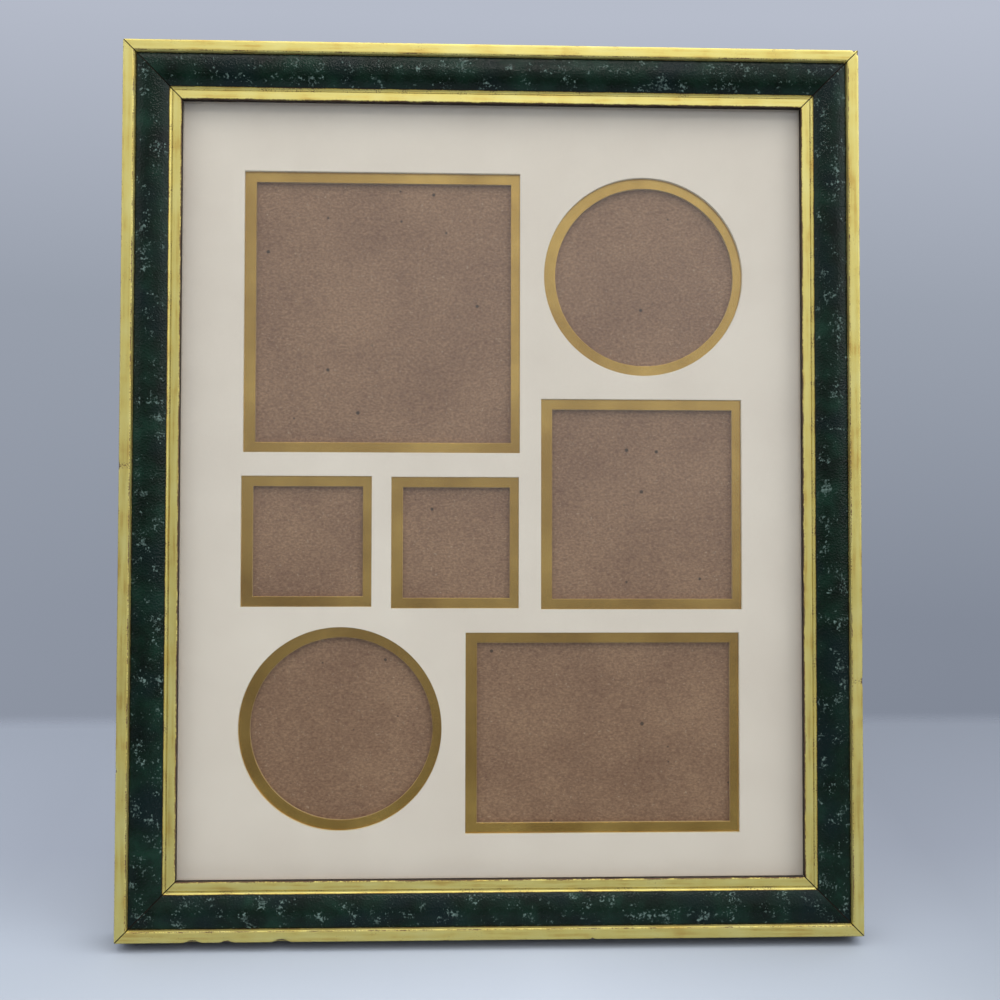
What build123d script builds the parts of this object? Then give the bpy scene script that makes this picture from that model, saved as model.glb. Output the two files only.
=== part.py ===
from build123d import *
import os
from math import cos, radians, sin

# Collage photo frame for a table top, in millimetres.
# Every piece is first placed on the upright frame: X to the right, Z up from the frame's centre,
# Y = 0 on the back face of the rails and the front towards -Y. At the end the whole frame is
# stood on its rear bottom edge, leaned back, and moved so that the origin is under its middle.

# Overall sizes
sight_w = 197.1         # width of the opening inside the rails
sight_h = 245.1         # height of the opening inside the rails
lean_deg = 12.0         # how far the frame leans back from upright
open_deg = 24.0         # how far the leg swings out from the back board

# Rail moulding, measured inwards from its outer side
rail_w = 18.1           # outer side to sight edge
rim_w = 3.5             # flat outer rim
step_w = 0.5            # sloping wall inside the rim
panel_w = 10.25         # domed panel
bead_w = 1.15           # small round bead beside the panel
rim_rise = 2.45         # rim above the inner lip
step_drop = 1.0         # rim to the panel's outer edge
panel_rise = 0.5        # panel's inner edge above the inner lip
panel_crown = 1.2       # dome of the panel above its two edges
bead_crown = 0.42       # bead above the panel's inner edge
lip_slope = 0.35        # fall of the lip towards the sight edge
lip_wall = 2.8          # lip's own thickness in front of the glass
edge_round = 0.45       # rounding of the rim's outer edge
lip_round = 0.3         # rounding of the sight edge
rabbet_w = 4.4          # rebate that holds glass, mats and boards
mitre_gap = 0.05        # open line between two mitred rails

# Sheets in the rebate, from the front
glass_t = 2.0
mat_t = 1.4
filler_t = 1.2
board_t = 3.0
pack_slack = 0.1        # board lies this much inside the rails' back face
sheet_gap = 0.5         # sheets are cut smaller than the rebate by this on each side
board_gap = 0.7         # back board drops in with this on each side

# Windows of the two mats
left_margin = 19.2      # sight edge to the left column
right_margin = 18.7     # sight edge to the right column
top_margin = 21.3
bottom_margin = 13.1
bar = 7.7               # board left between neighbouring windows
small_bar = 6.2         # the same between and under the two small windows
large_w = 87.6          # large window at the top left
large_h = 89.9
small_h = 41.2          # two small windows under it
landscape_w = 87.3      # wide window at the bottom right
right_drop = 0.9        # right column is cut this much lower
round_shift = 0.7       # round windows stand this much outwards of their columns
reveal = 3.25           # gold band left round each window
gold_shift = 0.4        # gold mat's windows lie this much to the right
# The die cut the windows a little out of true. How far outside the even layout each one's edges
# are, as left, bottom, right and top: large, small left, small right, upright and wide.
cut_over = (
    (0, 0, 0.3, 0),
    (0.5, 0.1, 0.1, 0.2),
    (-0.1, 0.6, 0, 0),
    (0.6, 0, 0, 0),
    (0.2, -0.1, 0, 0.3),
)
round_over = 0.1        # both round windows' radius
round_slip = ((-0.15, -0.4), (-0.3, 0))     # lower and upper round window's middle, X and Z

# Strut leg and its hinge
pivot_h = 172.0         # hinge axis above the frame's bottom
leg_t = 3.0
leg_top_w = 26.0
leg_foot_w = 56.0
leg_head_r = 5.0        # rounded shoulders of the leg
foot_arch_w = 24.0      # hollow between the leg's two toes
foot_arch_h = 4.0
leaf_t = 0.8
leaf_w = 27.0
leaf_h = 18.0
leaf_tip_w = 14.0
leaf_clear = 0.3        # moving leaf to back board when the leg is folded
knuckle_r = 1.9
knuckle_w = 9.8         # middle knuckle
knuckle_gap = 0.15      # side play between knuckles
pin_r = 0.9
pin_fit = 0.05          # running clearance round the pin
stop_h = 7.5            # stop tongue above the axis
stop_gap = 0.15         # stop tongue to fixed leaf with the leg open
rivet_r = 1.2
rivet_fit = 0.03
rivet_head_r = 2.3
rivet_head_h = 0.9
rivet_side = 8.0        # outer rivets from the middle
rivet_row = 7.0         # outer rivets from the axis
rivet_tip_row = 14.0    # middle rivet from the axis
leg_rivet_side = 7.0

# Turn buttons and their screws. What is driven into the wood, out of sight, has a shank with a
# few flat sides, and so has the lift under each button.
shank_sides = 12
button_r = 4.0          # round end at the screw
button_tip_r = 2.6
button_reach = 12.2     # screw to the centre of the tip
button_t = 1.0
button_boss_r = 2.5
button_boss_h = 0.3     # lifts the button clear of the rail
screw_r = 1.1
screw_fit = 0.05
screw_len = 7.0         # in the wood
screw_head_r = 2.3
screw_head_h = 1.3
screw_slot_w = 0.6
screw_slot_d = 0.6
head_gap = 0.05         # button to screw head
slot_share = 1 / 3      # each slot stands at this share of its button's turn
button_side = 58.0      # screws on the top and bottom rails from the middle

# Sawtooth hanger on the top rail
hanger_w = 42.0
hanger_h = 7.2
hanger_t = 0.8
hanger_foot = 7.5       # flat end at each nail
hanger_rise = 1.6       # middle stands off the rail
hanger_ramp = 1.6
tooth_count = 11
tooth_h = 1.4
nail_r = 0.8
nail_fit = 0.03
nail_len = 6.0
nail_head_r = 1.9
nail_head_h = 0.5

# V-shaped nails in the mitred corners
vnail_arm = 4.2
vnail_t = 0.5
vnail_depth = 6.0
vnail_fit = 0.03
vnail_rows = (3.0, 7.8)  # outer side of the frame to each nail's point

# Derived sizes of the frame
outer_w = sight_w + 2 * rail_w
outer_h = sight_h + 2 * rail_w
rabbet_depth = glass_t + 2 * mat_t + filler_t + board_t + pack_slack
frame_depth = rim_rise + lip_wall + rabbet_depth
land_w = rail_w - rabbet_w          # flat back face of a rail
land_mid = land_w / 2
rebate_w = sight_w + 2 * rabbet_w
rebate_h = sight_h + 2 * rabbet_w
board_back = -pack_slack            # Y of the back board's rear face
overrun = frame_depth               # cutters run past what they cut by this


def rail_section():
    """The moulding across one rail: x is Y of the frame, y is the distance in from the outer side."""
    front = -frame_depth
    lip_y = front + rim_rise
    panel_start = rim_w + step_w
    panel_end = panel_start + panel_w
    bead_end = panel_end + bead_w
    outer_y = front + step_drop
    inner_y = lip_y - panel_rise
    crown_y = (outer_y + inner_y) / 2 - panel_crown
    lip_top = lip_y - lip_slope
    bead_mid = panel_end + bead_w / 2
    outline = [
        Line((0, 0), (front + edge_round, 0)),
        RadiusArc((front + edge_round, 0), (front, edge_round), edge_round),
        Line((front, edge_round), (front, rim_w)),
        Line((front, rim_w), (outer_y, panel_start)),
        ThreePointArc(
            (outer_y, panel_start),
            (crown_y, panel_start + panel_w / 2),
            (inner_y, panel_end),
        ),
        ThreePointArc(
            (inner_y, panel_end),
            (inner_y - bead_crown, bead_mid),
            (lip_top, bead_end),
        ),
        Line((lip_top, bead_end), (lip_y, rail_w - lip_round)),
        Line((lip_y, rail_w - lip_round), (lip_y + lip_round, rail_w)),
        Line((lip_y + lip_round, rail_w), (lip_y + lip_wall, rail_w)),
        Line((lip_y + lip_wall, rail_w), (lip_y + lip_wall, land_w)),
        Line((lip_y + lip_wall, land_w), (0, land_w)),
        Line((0, land_w), (0, 0)),
    ]
    return make_face(outline)


def rail_blank(length, half_span):
    """A mitred rail that runs along X, its outer side at Z = -half_span."""
    section = Plane.YZ * Pos(0, -half_span) * rail_section()
    bar_solid = extrude(section, amount=length / 2, both=True)
    for side in (-1, 1):
        cut = Plane(
            origin=(side * (length / 2 - mitre_gap / 2), 0, -half_span),
            z_dir=(side, 0, 1),
        )
        bar_solid = split(bar_solid, bisect_by=cut, keep=Keep.BOTTOM)
    return bar_solid


def quarter_turns():
    """Name, turn about Y, rail length and distance of the outer side for each rail."""
    return (
        ("rail_bottom", 0, outer_w, outer_h / 2),
        ("rail_left", 90, outer_h, outer_w / 2),
        ("rail_top", 180, outer_w, outer_h / 2),
        ("rail_right", 270, outer_h, outer_w / 2),
    )


def along_y(radius, length):
    """A round bar from Y = 0 towards -Y."""
    return Rot(90, 0, 0) * extrude(Circle(radius), amount=length)


def sided_along_y(radius, length):
    """The same bar with flat sides, its corners on the radius."""
    outline = RegularPolygon(radius, shank_sides)
    return Rot(90, 0, 0) * extrude(outline, amount=length)


def button_places():
    """Each turn button: name, X and Z of its screw, and the turn that points it at the board."""
    side_x = outer_w / 2 - land_mid
    edge_z = outer_h / 2 - land_mid
    return (
        ("turn_button_top_left", -button_side, edge_z, 180),
        ("turn_button_top_right", button_side, edge_z, 180),
        ("turn_button_bottom_left", -button_side, -edge_z, 0),
        ("turn_button_bottom_right", button_side, -edge_z, 0),
        ("turn_button_left", -side_x, 0, 90),
        ("turn_button_right", side_x, 0, 270),
    )


def hanger_nail_places():
    """X and Z of the hanger's two nails."""
    nail_x = hanger_w / 2 - hanger_foot / 2
    return [(side * nail_x, outer_h / 2 - land_mid) for side in (-1, 1)]


def v_nails(fit):
    """The pairs of V-nails in the four corners, grown by the fit for their slots."""
    arm = vnail_arm + 2 * fit
    thick = vnail_t + 2 * fit
    shape = Polyline(
        (-fit, -fit), (arm - fit, -fit), (arm - fit, thick - fit),
        (thick - fit, thick - fit), (thick - fit, arm - fit), (-fit, arm - fit),
        close=True,
    )
    corners = ((-1, -1, 0), (1, -1, 90), (1, 1, 180), (-1, 1, 270))
    solids = []
    for side_x, side_z, turn in corners:
        outline = make_face(Rot(0, 0, turn) * shape)
        for row in vnail_rows:
            place = Plane(
                origin=(side_x * (outer_w / 2 - row), 0, side_z * (outer_h / 2 - row)),
                x_dir=(1, 0, 0), z_dir=(0, -1, 0),
            )
            solids.append(place * extrude(outline, amount=vnail_depth + fit))
    return solids


def make_rails():
    """Four mitred rails with pilot holes for screws and nails and slots for the V-nails."""
    cutters = [
        Pos(x, 0, z) * sided_along_y(screw_r + screw_fit, screw_len + screw_fit)
        for _, x, z, _ in button_places()
    ]
    cutters += [
        Pos(x, 0, z) * sided_along_y(nail_r + nail_fit, nail_len + nail_fit)
        for x, z in hanger_nail_places()
    ]
    cutters += v_nails(vnail_fit)
    rails = {}
    for name, turn, length, half_span in quarter_turns():
        rail = Rot(0, turn, 0) * rail_blank(length, half_span)
        box = rail.bounding_box()
        for cutter in cutters:
            centre = cutter.bounding_box().center()
            in_x = box.min.X - vnail_arm < centre.X < box.max.X + vnail_arm
            in_z = box.min.Z - vnail_arm < centre.Z < box.max.Z + vnail_arm
            if in_x and in_z:
                rail -= cutter
        rails[name] = rail
    return rails


def sheet(front_y, thickness, gap):
    """A plain sheet in the rebate, its front face at front_y."""
    width = rebate_w - 2 * gap
    height = rebate_h - 2 * gap
    return Pos(0, front_y + thickness / 2, 0) * Box(width, thickness, height)


def window_faces(inset, shift):
    """The seven windows as flat faces, x to the right and y up, each made smaller by the inset."""
    left = -sight_w / 2 + left_margin
    right = sight_w / 2 - right_margin
    top = sight_h / 2 - top_margin
    bottom = -sight_h / 2 + bottom_margin
    large_right = left + large_w
    column_w = right - large_right - bar
    column_left = right - column_w
    large_bottom = top - large_h
    small_w = (large_w - small_bar) / 2
    small_top = large_bottom - bar
    small_bottom = small_top - small_h
    circle_top = top - right_drop
    upright_top = circle_top - column_w - bar
    upright_bottom = small_bottom - right_drop
    wide_left = left - round_shift + column_w + bar
    wide_top = upright_bottom - bar
    corners = (
        (left, large_bottom, large_right, top),
        (left, small_bottom, left + small_w, small_top),
        (large_right - small_w, small_bottom, large_right, small_top),
        (column_left, upright_bottom, right, upright_top),
        (wide_left, bottom, wide_left + landscape_w, wide_top),
    )
    circles = (
        (left - round_shift + column_w / 2, small_bottom - small_bar - column_w / 2),
        (right + round_shift - column_w / 2, circle_top - column_w / 2),
    )
    faces = []
    for (x0, z0, x1, z1), (to_left, down, to_right, up) in zip(corners, cut_over):
        width = x1 - x0 + to_left + to_right
        height = z1 - z0 + down + up
        middle = Pos((x0 - to_left + x1 + to_right) / 2 + shift, (z0 - down + z1 + up) / 2)
        faces.append(middle * Rectangle(width - 2 * inset, height - 2 * inset))
    for (x, z), (slip_x, slip_z) in zip(circles, round_slip):
        round_face = Circle(column_w / 2 + round_over - inset)
        faces.append(Pos(x + slip_x + shift, z + slip_z) * round_face)
    return faces


def make_mat(front_y, inset, shift):
    """A mat board with the seven windows cut through it."""
    mat = sheet(front_y, mat_t, sheet_gap)
    plane = Plane(origin=(0, front_y + mat_t + overrun, 0), x_dir=(1, 0, 0), z_dir=(0, -1, 0))
    for face in window_faces(inset, shift):
        mat -= extrude(plane * face, amount=mat_t + 2 * overrun)
    return mat


def make_sheets():
    """Glass, both mats, the filler board and the back board, from the front."""
    glass_y = -frame_depth + rim_rise + lip_wall
    cream_y = glass_y + glass_t
    gold_y = cream_y + mat_t
    filler_y = gold_y + mat_t
    board_y = filler_y + filler_t
    board = sheet(board_y, board_t, board_gap)
    for x, z in board_rivet_places():
        board -= Pos(x, overrun, z) * along_y(rivet_r + rivet_fit, 2 * overrun)
    return {
        "glass": sheet(glass_y, glass_t, sheet_gap),
        "cream_mat": make_mat(cream_y, 0, 0),
        "gold_mat": make_mat(gold_y, reveal, gold_shift),
        "filler_board": sheet(filler_y, filler_t, sheet_gap),
        "back_board": board,
    }


# Hinge places on the upright frame
pivot_z = pivot_h - outer_h / 2
pivot_y = board_back + knuckle_r
leg_front = board_back + leaf_clear + leaf_t   # leg's inner face when folded


def board_rivet_places():
    """X and Z of the three rivets through the back board."""
    return [
        (-rivet_side, pivot_z + rivet_row),
        (rivet_side, pivot_z + rivet_row),
        (0, pivot_z + rivet_tip_row),
    ]


def leg_rivet_places():
    """X and Z of the three rivets through the leg, with the leg folded."""
    return [
        (-leg_rivet_side, pivot_z - rivet_row),
        (leg_rivet_side, pivot_z - rivet_row),
        (0, pivot_z - rivet_tip_row),
    ]


def across_x(radius, x0, x1):
    """A round bar along the hinge axis."""
    return Pos(x0, pivot_y, pivot_z) * Rot(0, 90, 0) * extrude(Circle(radius), amount=x1 - x0)


def block(x0, x1, y0, y1, z0, z1):
    """A box between two corners."""
    centre = Pos((x0 + x1) / 2, (y0 + y1) / 2, (z0 + z1) / 2)
    return centre * Box(x1 - x0, y1 - y0, z1 - z0)


def leaf_plate(y0, direction, root):
    """A hinge leaf that narrows to a rounded tip, up (1) or down (-1) from the axis."""
    tip_r = leaf_tip_w / 2
    tip_mid = leaf_h - tip_r
    outline = [
        Line((-leaf_w / 2, root), (leaf_w / 2, root)),
        Line((leaf_w / 2, root), (leaf_w / 2, rivet_row)),
        Line((leaf_w / 2, rivet_row), (tip_r, tip_mid)),
        ThreePointArc((tip_r, tip_mid), (0, leaf_h), (-tip_r, tip_mid)),
        Line((-tip_r, tip_mid), (-leaf_w / 2, rivet_row)),
        Line((-leaf_w / 2, rivet_row), (-leaf_w / 2, root)),
    ]
    plane = Plane(origin=(0, y0, pivot_z), x_dir=(direction, 0, 0), z_dir=(0, -1, 0))
    return extrude(plane * make_face(outline), amount=-leaf_t)


def make_fixed_leaf():
    """Leaf on the back board, with the two outer knuckles."""
    root = knuckle_r + knuckle_gap
    leaf = leaf_plate(board_back, 1, root)
    inner = knuckle_w / 2 + knuckle_gap
    for side in (-1, 1):
        x0, x1 = sorted((side * inner, side * leaf_w / 2))
        leaf += across_x(knuckle_r, x0, x1)
        leaf += block(x0, x1, board_back, board_back + leaf_t, pivot_z, pivot_z + root)
    leaf -= across_x(pin_r + pin_fit, -leaf_w, leaf_w)
    for x, z in board_rivet_places():
        leaf -= Pos(x, overrun, z) * along_y(rivet_r + rivet_fit, 2 * overrun)
    return leaf


def opened(shape):
    """Swings a folded shape out about the hinge axis."""
    pivot = Pos(0, pivot_y, pivot_z)
    return pivot * Rot(open_deg, 0, 0) * Pos(0, -pivot_y, -pivot_z) * shape


def make_moving_leaf():
    """Leaf on the leg, with the middle knuckle and the tongue that stops it against the fixed leaf."""
    root = knuckle_r + knuckle_gap
    front = board_back + leaf_clear
    half = knuckle_w / 2
    leaf = leaf_plate(front, -1, root)
    leaf += block(-half, half, front, front + leaf_t, pivot_z - root, pivot_z)
    leaf = opened(leaf)
    leaf += across_x(knuckle_r, -half, half)
    stop_y = board_back + leaf_t + stop_gap
    leaf += block(-half, half, stop_y, stop_y + leaf_t, pivot_z, pivot_z + stop_h)
    leaf -= across_x(pin_r + pin_fit, -leaf_w, leaf_w)
    for x, z in leg_rivet_places():
        leaf -= opened(Pos(x, overrun, z) * along_y(rivet_r + rivet_fit, 2 * overrun))
    return leaf


def make_leg():
    """Strut leg, folded: narrow at the hinge, wide at the foot, with two toes."""
    lean = radians(lean_deg)
    behind = radians(open_deg - lean_deg)
    drop = (pivot_h * cos(lean) - pivot_y * sin(lean)) / cos(behind)
    top = -(knuckle_r + knuckle_gap + leaf_clear)
    foot = -drop - leg_t
    head = leg_top_w / 2
    toe = leg_foot_w / 2
    arch = foot_arch_w / 2
    outline = [
        Line((-head + leg_head_r, top), (head - leg_head_r, top)),
        RadiusArc((head - leg_head_r, top), (head, top - leg_head_r), leg_head_r),
        Line((head, top - leg_head_r), (toe, foot)),
        Line((toe, foot), (arch, foot)),
        Line((arch, foot), (arch, -drop)),
        ThreePointArc((arch, -drop), (0, -drop + foot_arch_h), (-arch, -drop)),
        Line((-arch, -drop), (-arch, foot)),
        Line((-arch, foot), (-toe, foot)),
        Line((-toe, foot), (-head, top - leg_head_r)),
        RadiusArc((-head, top - leg_head_r), (-head + leg_head_r, top), leg_head_r),
    ]
    plane = Plane(origin=(0, leg_front + leg_t, pivot_z), x_dir=(1, 0, 0), z_dir=(0, -1, 0))
    leg = extrude(plane * make_face(outline), amount=leg_t)
    for x, z in leg_rivet_places():
        leg -= Pos(x, overrun, z) * along_y(rivet_r + rivet_fit, 2 * overrun)
    leg = opened(leg)
    ground = Plane(
        origin=(0, 0, -outer_h / 2), x_dir=(1, 0, 0), z_dir=(0, -sin(lean), cos(lean))
    )
    return split(leg, bisect_by=ground, keep=Keep.TOP)


def rivet(length):
    """A rivet's flat head above Y = 0, and its shank towards -Y."""
    head = Pos(0, rivet_head_h, 0) * along_y(rivet_head_r, rivet_head_h)
    return head + along_y(rivet_r, length)


def make_rivets():
    """Three rivets in the board and three in the leg, one group each."""
    board = [
        Pos(x, board_back + leaf_t, z) * rivet(leaf_t + board_t) for x, z in board_rivet_places()
    ]
    leg = [
        opened(Pos(x, leg_front + leg_t, z) * rivet(leg_t + leaf_t)) for x, z in leg_rivet_places()
    ]
    return {"board_rivets": Compound(board), "leg_rivets": Compound(leg)}


def make_button():
    """A turn button that points up from its screw, its boss on Y = 0."""
    round_end = Circle(button_r)
    tip = Pos(0, button_reach) * Circle(button_tip_r)
    outline = make_hull(round_end.edges() + tip.edges())
    plane = Plane(origin=(0, button_boss_h, 0), x_dir=(1, 0, 0), z_dir=(0, -1, 0))
    plate = extrude(plane * outline, amount=-button_t)
    boss = Pos(0, button_boss_h, 0) * sided_along_y(button_boss_r, button_boss_h)
    hole = Pos(0, overrun, 0) * along_y(screw_r + screw_fit, 2 * overrun)
    return plate + boss - hole


def make_screw():
    """A slotted wood screw, its head seated over the button on Y = 0 and its shank towards -Y."""
    under_head = button_boss_h + button_t + head_gap
    head = Pos(0, screw_head_h, 0) * along_y(screw_head_r, screw_head_h)
    screw = head + sided_along_y(screw_r, under_head + screw_len)
    slot = block(
        -screw_head_r, screw_head_r,
        screw_head_h - screw_slot_d, screw_head_h + screw_slot_d,
        -screw_slot_w / 2, screw_slot_w / 2,
    )
    return Pos(0, under_head, 0) * (screw - slot)


def make_buttons():
    """Six turn buttons, each its own piece, and their screws as one group."""
    parts = {}
    screws = []
    for name, x, z, turn in button_places():
        parts[name] = Pos(x, 0, z) * Rot(0, turn, 0) * make_button()
        screws.append(Pos(x, 0, z) * Rot(0, turn * slot_share, 0) * make_screw())
    parts["turn_button_screws"] = Compound(screws)
    return parts


def make_hanger():
    """Pressed sawtooth hanger: two flat feet, a middle that stands off, and teeth under it."""
    foot_x = hanger_w / 2 - hanger_foot
    mid_x = foot_x - hanger_ramp
    strip = Polyline(
        (-hanger_w / 2, 0), (-foot_x, 0), (-mid_x, hanger_rise), (mid_x, hanger_rise),
        (foot_x, 0), (hanger_w / 2, 0), (hanger_w / 2, hanger_t), (foot_x, hanger_t),
        (mid_x, hanger_rise + hanger_t), (-mid_x, hanger_rise + hanger_t),
        (-foot_x, hanger_t), (-hanger_w / 2, hanger_t),
        close=True,
    )
    hanger = extrude(make_face(strip), amount=hanger_h / 2, both=True)
    pitch = 2 * mid_x / tooth_count
    for step in range(tooth_count):
        x = -mid_x + (step + 1 / 2) * pitch
        notch = Polyline(
            (x - pitch / 2, -hanger_h / 2),
            (x, -hanger_h / 2 + tooth_h),
            (x + pitch / 2, -hanger_h / 2),
            (x + pitch / 2, -hanger_h),
            (x - pitch / 2, -hanger_h),
            close=True,
        )
        plane = Plane(origin=(0, overrun, 0), x_dir=(1, 0, 0), z_dir=(0, -1, 0))
        hanger -= extrude(plane * make_face(notch), amount=2 * overrun)
    hanger = Pos(0, 0, outer_h / 2 - land_mid) * hanger
    nails = []
    for x, z in hanger_nail_places():
        hanger -= Pos(x, overrun, z) * along_y(nail_r + nail_fit, 2 * overrun)
        shank = sided_along_y(nail_r, nail_len + hanger_t)
        head = Pos(0, nail_head_h, 0) * along_y(nail_head_r, nail_head_h)
        nails.append(Pos(x, hanger_t, z) * (shank + head))
    return {"sawtooth_hanger": hanger, "hanger_nails": Compound(nails)}


def make_parts():
    """Every piece on the upright frame, by name."""
    parts = make_rails()
    parts.update(make_sheets())
    parts["hinge_fixed_leaf"] = make_fixed_leaf()
    parts["hinge_moving_leaf"] = make_moving_leaf()
    parts["hinge_pin"] = across_x(pin_r, -leaf_w / 2, leaf_w / 2)
    parts["easel_leg"] = make_leg()
    parts.update(make_rivets())
    parts.update(make_buttons())
    parts.update(make_hanger())
    parts["corner_v_nails"] = Compound(v_nails(0))
    return parts


def stood_up(parts):
    """Leans the frame back on its rear bottom edge and puts the origin under its middle."""
    lean = Rot(-lean_deg, 0, 0) * Pos(0, 0, outer_h / 2)
    leaned = {name: lean * shape for name, shape in parts.items()}
    boxes = [shape.bounding_box() for shape in leaned.values()]
    low_y = min(box.min.Y for box in boxes)
    high_y = max(box.max.Y for box in boxes)
    middle = Pos(0, -(low_y + high_y) / 2, 0)
    return {name: middle * shape for name, shape in leaned.items()}


os.makedirs("parts", exist_ok=True)
for part_name, part_shape in stood_up(make_parts()).items():
    export_step(part_shape, f"parts/{part_name}.step")
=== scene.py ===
import math

import bmesh
import bpy
from mathutils import Matrix, Vector, noise


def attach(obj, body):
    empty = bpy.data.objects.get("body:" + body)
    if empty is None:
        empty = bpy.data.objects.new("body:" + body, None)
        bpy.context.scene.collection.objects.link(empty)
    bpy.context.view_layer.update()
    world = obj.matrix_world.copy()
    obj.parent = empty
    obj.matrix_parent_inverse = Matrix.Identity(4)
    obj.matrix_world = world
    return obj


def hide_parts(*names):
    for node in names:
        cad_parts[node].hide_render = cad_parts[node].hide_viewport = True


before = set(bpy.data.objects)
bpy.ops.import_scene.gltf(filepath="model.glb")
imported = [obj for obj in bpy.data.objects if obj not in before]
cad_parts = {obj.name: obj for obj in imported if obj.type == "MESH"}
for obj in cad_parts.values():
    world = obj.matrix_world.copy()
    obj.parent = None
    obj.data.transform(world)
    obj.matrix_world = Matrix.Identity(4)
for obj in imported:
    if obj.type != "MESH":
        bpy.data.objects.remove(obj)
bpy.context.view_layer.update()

bpy.ops.object.select_all(action="DESELECT")
MM = 0.001

# The studio
# A pale floor, with the lamps' falloff and some shade painted into its paper, and a pale backdrop,
# in a soft light box: one broad lamp overhead, a narrow one above the camera, and a pale glow from
# all round that is brighter overhead and at the sides.


def from_hex(code):
    """An sRGB hex colour as linear red, green, blue and alpha."""
    parts = [int(code[place:place + 2], 16) / 255 for place in (1, 3, 5)]
    linear = [c / 12.92 if c <= 0.04045 else ((c + 0.055) / 1.055) ** 2.4 for c in parts]
    return (*linear, 1.0)


def add_node(tree, kind, sockets=None, ramp=None, **settings):
    """Adds one shader node: its settings, its sockets, and its colour ramp's stops.

    A socket takes a plain value, another node's output, or a node, for that node's first output.
    """
    made = tree.nodes.new("ShaderNode" + kind)
    for name, value in settings.items():
        setattr(made, name, value)
    for socket, value in (sockets or {}).items():
        if isinstance(value, bpy.types.Node):
            value = value.outputs[0]
        if isinstance(value, bpy.types.NodeSocket):
            tree.links.new(value, made.inputs[socket])
        else:
            made.inputs[socket].default_value = value
    for stop, (place, colour) in enumerate(ramp or ()):
        stops = made.color_ramp.elements
        element = stops[stop] if stop < 2 else stops.new(place)
        element.position = place
        element.color = from_hex(colour)
    return made


def empty_tree(name):
    """A new material with no nodes, and its tree."""
    material = bpy.data.materials.new(name)
    material.use_nodes = True
    material.node_tree.nodes.clear()
    return material, material.node_tree


def select_where(mesh, test):
    """In edit mode, selects just the vertices that pass the test."""
    bpy.ops.mesh.select_mode(type="VERT")
    bpy.ops.mesh.select_all(action="DESELECT")
    cage = bmesh.from_edit_mesh(mesh)
    for vert in cage.verts:
        vert.select = test(vert)
    cage.select_flush(True)
    bmesh.update_edit_mesh(mesh)


camera_data = bpy.data.cameras.new("photo_camera")
camera_data.lens = 50.68
camera_data.sensor_width = 36.0
camera = bpy.data.objects.new("photo_camera", camera_data)
camera.location = (-0.016149, -0.450588, 0.214252)
camera.rotation_euler = [math.radians(turn) for turn in (79.890, -0.575, -2.280)]
bpy.context.collection.objects.link(camera)
bpy.context.scene.camera = camera
bpy.context.scene.view_settings.view_transform = "Standard"

lit_place = Vector((0, -0.013, 0.14))
for name, width, depth, watts, colour, place in (
    ("light_box_panel", 0.9, 0.32, 1.75, "#FFF9F0", (0.07, -0.16, 0.95)),
    ("front_strip", 0.30, 0.03, 0.38, "#FFFBF4", (0.03, -0.48, 0.70)),
):
    lamp_data = bpy.data.lights.new(name, "AREA")
    lamp_data.shape = "RECTANGLE"
    lamp_data.size = width
    lamp_data.size_y = depth
    lamp_data.energy = watts
    lamp_data.color = from_hex(colour)[:3]
    lamp = bpy.data.objects.new(name, lamp_data)
    lamp.location = place
    lamp.rotation_euler = (lit_place - lamp.location).to_track_quat("-Z", "Y").to_euler()
    bpy.context.collection.objects.link(lamp)

world = bpy.data.worlds.new("light_box")
bpy.context.scene.world = world
world.use_nodes = True
tree = world.node_tree
tree.nodes.clear()
direction = add_node(tree, "TexCoord")
height = add_node(tree, "SeparateXYZ", {0: direction.outputs["Generated"]})
# The glow by height. It lights the frame, but the camera sees the backdrop instead.
glow = add_node(
    tree, "ValToRGB", {0: height.outputs["Z"]},
    ramp=(
        (0.0, "#524F4A"), (0.12, "#7A7875"), (0.25, "#A6A8AA"), (0.38, "#BCBEC0"),
        (0.5, "#B9BBBE"), (0.75, "#DDDFE2"), (1.0, "#FFFFFF"),
    ),
)
# The backdrop by height, a little different at the left and at the right.
rise = add_node(
    tree, "MapRange", {"Value": height.outputs["Z"], "From Min": -0.4, "From Max": 0.2}
)
wall_left = add_node(
    tree, "ValToRGB", {0: rise},
    ramp=((0.0, "#8B92A0"), (0.26, "#8E95A3"), (0.61, "#989FAC"), (0.92, "#B4BAC8")),
)
wall_right = add_node(
    tree, "ValToRGB", {0: rise},
    ramp=((0.0, "#7F8694"), (0.26, "#838A98"), (0.61, "#9BA2AF"), (0.92, "#B8BECC")),
)
aside = add_node(
    tree, "MapRange", {"Value": height.outputs["X"], "From Min": -0.3, "From Max": 0.35}
)
seen = add_node(tree, "Mix", {0: aside, 6: wall_left, 7: wall_right}, data_type="RGBA")
light_path = add_node(tree, "LightPath")
# The glow is stronger to the right, and comes back from the box's two side panels.
side_glow = add_node(
    tree, "MapRange",
    {"Value": height.outputs["X"], "From Min": -0.3, "From Max": 0.35, "To Min": 1.16,
     "To Max": 1.90},
)
side_reach = add_node(tree, "Math", {0: height.outputs["X"]}, operation="ABSOLUTE")
side_panels = add_node(
    tree, "MapRange",
    {"Value": side_reach, "From Min": 0.40, "From Max": 0.62, "To Max": 1.5},
    interpolation_type="SMOOTHSTEP",
)
panel_height = add_node(
    tree, "MapRange", {"Value": height.outputs["Z"], "From Min": 0.05, "From Max": 0.30}
)
panel_share = add_node(
    tree, "Math", {0: side_panels, 1: panel_height, 2: 1.0}, operation="MULTIPLY_ADD"
)
glow_strength = add_node(tree, "Math", {0: panel_share, 1: side_glow}, operation="MULTIPLY")
glow_light = add_node(tree, "Background", {"Color": glow, "Strength": glow_strength})
seen_light = add_node(tree, "Background", {"Color": seen.outputs[2]})
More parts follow.
